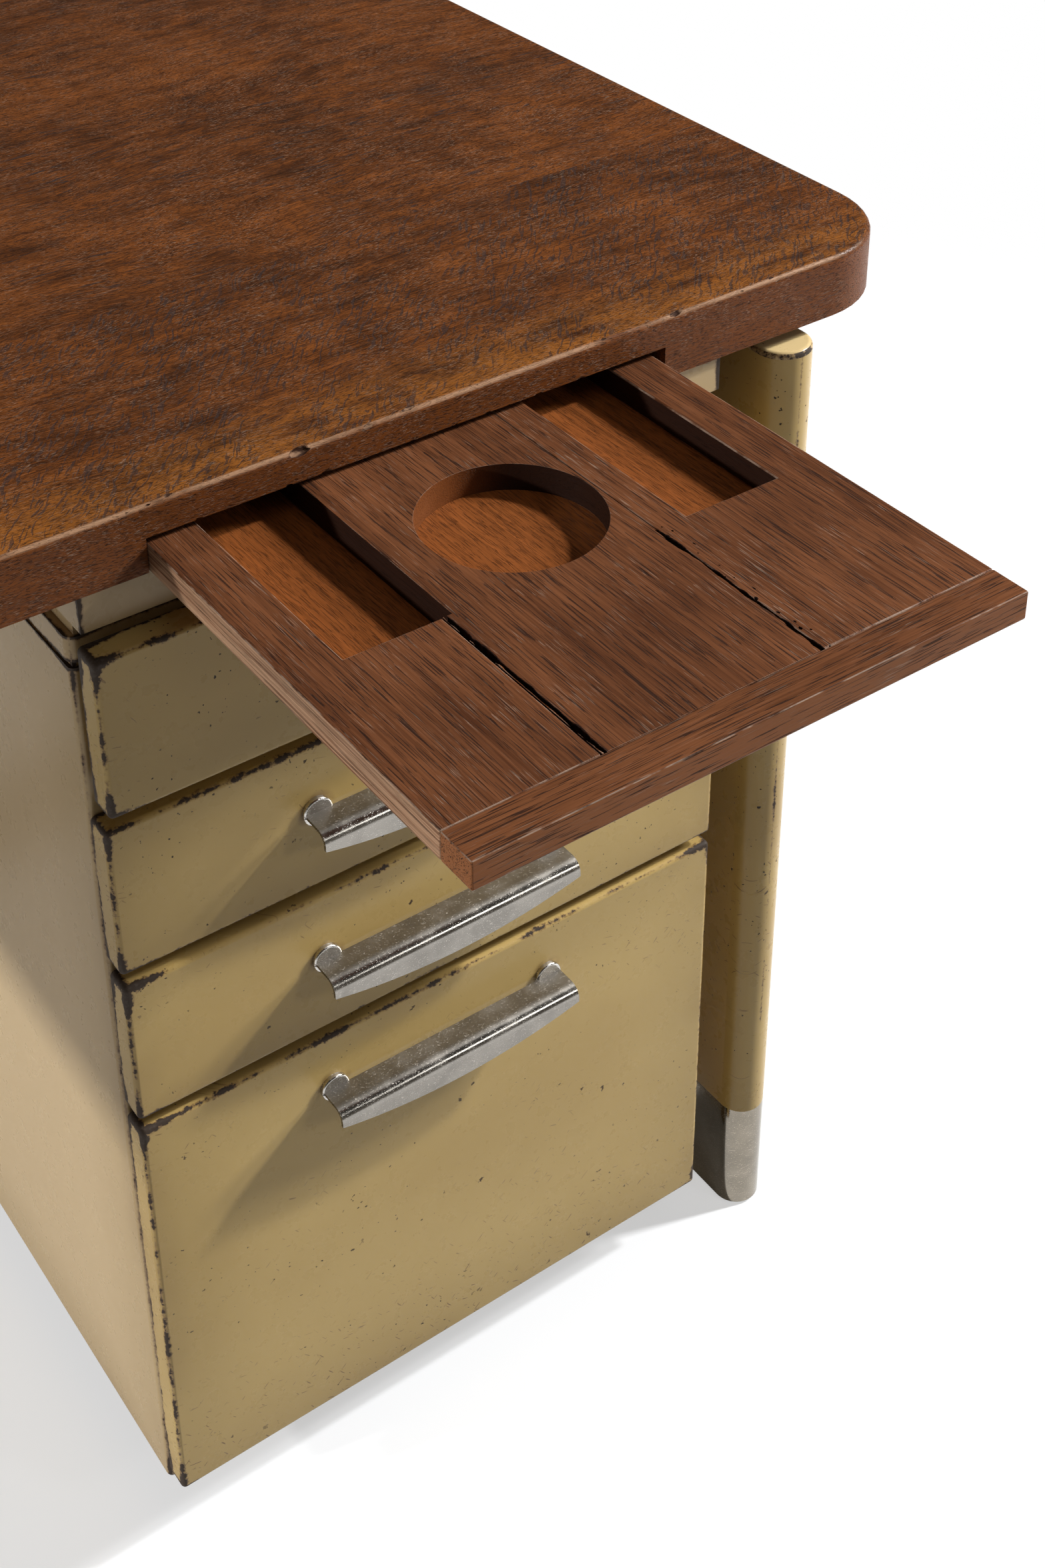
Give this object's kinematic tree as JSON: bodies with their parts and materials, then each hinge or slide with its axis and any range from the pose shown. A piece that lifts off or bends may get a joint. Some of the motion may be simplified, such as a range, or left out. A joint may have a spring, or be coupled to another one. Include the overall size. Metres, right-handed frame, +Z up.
{
  "type": "desk",
  "caption": "Oak-topped desk on tapered steel legs with a lacquered steel drawer pedestal and a pull-out writing slide with pen recesses.",
  "frame": {"origin": "on the floor, under the middle of the whole desk with its slide pulled out", "axes": "+X to the right seen from the front, +Y to the back, +Z up"},
  "size_m": [1.6, 1.029, 0.738],
  "materials": {
    "oak_top": "oiled and worn, satin",
    "oak_slide": "dark, dry and worn",
    "oak_floor": "satin",
    "lacquer": "cream lacquer, chipped at the edges",
    "pull_metal": "polished, finely scratched",
    "shoe_metal": "polished",
    "plain_steel": "bare steel"
  },
  "bodies": {
    "frame": {"beam_left": "lacquer", "beam_right": "lacquer", "drawer_runners": "plain_steel", "leg_front_left": "lacquer", "leg_front_right": "lacquer", "leg_lid_front_left": "lacquer", "leg_lid_front_right": "lacquer", "leg_lid_rear_left": "lacquer", "leg_lid_rear_right": "lacquer", "leg_rear_left": "lacquer", "leg_rear_right": "lacquer", "pedestal_back": "lacquer", "pedestal_bottom": "lacquer", "pedestal_collar": "lacquer", "pedestal_lid": "lacquer", "pedestal_side_left": "lacquer", "pedestal_side_right": "lacquer", "pedestal_spacer": "lacquer", "rear_rail": "lacquer", "sabot_front_left": "shoe_metal", "sabot_front_right": "shoe_metal", "sabot_rear_left": "shoe_metal", "sabot_rear_right": "shoe_metal", "slide_ledges": "plain_steel", "top_board_front": "oak_top", "top_board_rear": "oak_top", "top_board_second": "oak_top", "top_board_third": "oak_top", "top_screws": "plain_steel"},
    "drawer_1": {"drawer_front_1": "lacquer", "drawer_handle_1": "pull_metal", "drawer_studs_1": "pull_metal", "drawer_tray_1": "lacquer"},
    "drawer_2": {"drawer_front_2": "lacquer", "drawer_handle_2": "pull_metal", "drawer_studs_2": "pull_metal", "drawer_tray_2": "lacquer"},
    "drawer_3": {"drawer_front_3": "lacquer", "drawer_handle_3": "pull_metal", "drawer_studs_3": "pull_metal", "drawer_tray_3": "lacquer"},
    "drawer_4": {"drawer_front_4": "lacquer", "drawer_handle_4": "pull_metal", "drawer_studs_4": "pull_metal", "drawer_tray_4": "lacquer"},
    "writing_slide": {"slide_floor": "oak_floor", "slide_front_strip": "oak_slide", "slide_plank_left": "oak_slide", "slide_plank_middle": "oak_slide", "slide_plank_right": "oak_slide", "slide_rear_strip": "oak_slide"}
  },
  "joints": [
    {"name": "drawer_1_slide", "type": "slide", "parent": "frame", "child": "drawer_1", "axis": [0, -1, 0], "range_m": [-0.0083, 0.42]},
    {"name": "drawer_2_slide", "type": "slide", "parent": "frame", "child": "drawer_2", "axis": [0, -1, 0], "range_m": [0, 0.42]},
    {"name": "drawer_3_slide", "type": "slide", "parent": "frame", "child": "drawer_3", "axis": [0, -1, 0], "range_m": [0, 0.42]},
    {"name": "drawer_4_slide", "type": "slide", "parent": "frame", "child": "drawer_4", "axis": [0, -1, 0], "range_m": [0, 0.42]},
    {"name": "writing_slide_slide", "type": "slide", "parent": "frame", "child": "writing_slide", "axis": [0, -1, 0], "range_m": [-0.269, 0.04]}
  ]
}
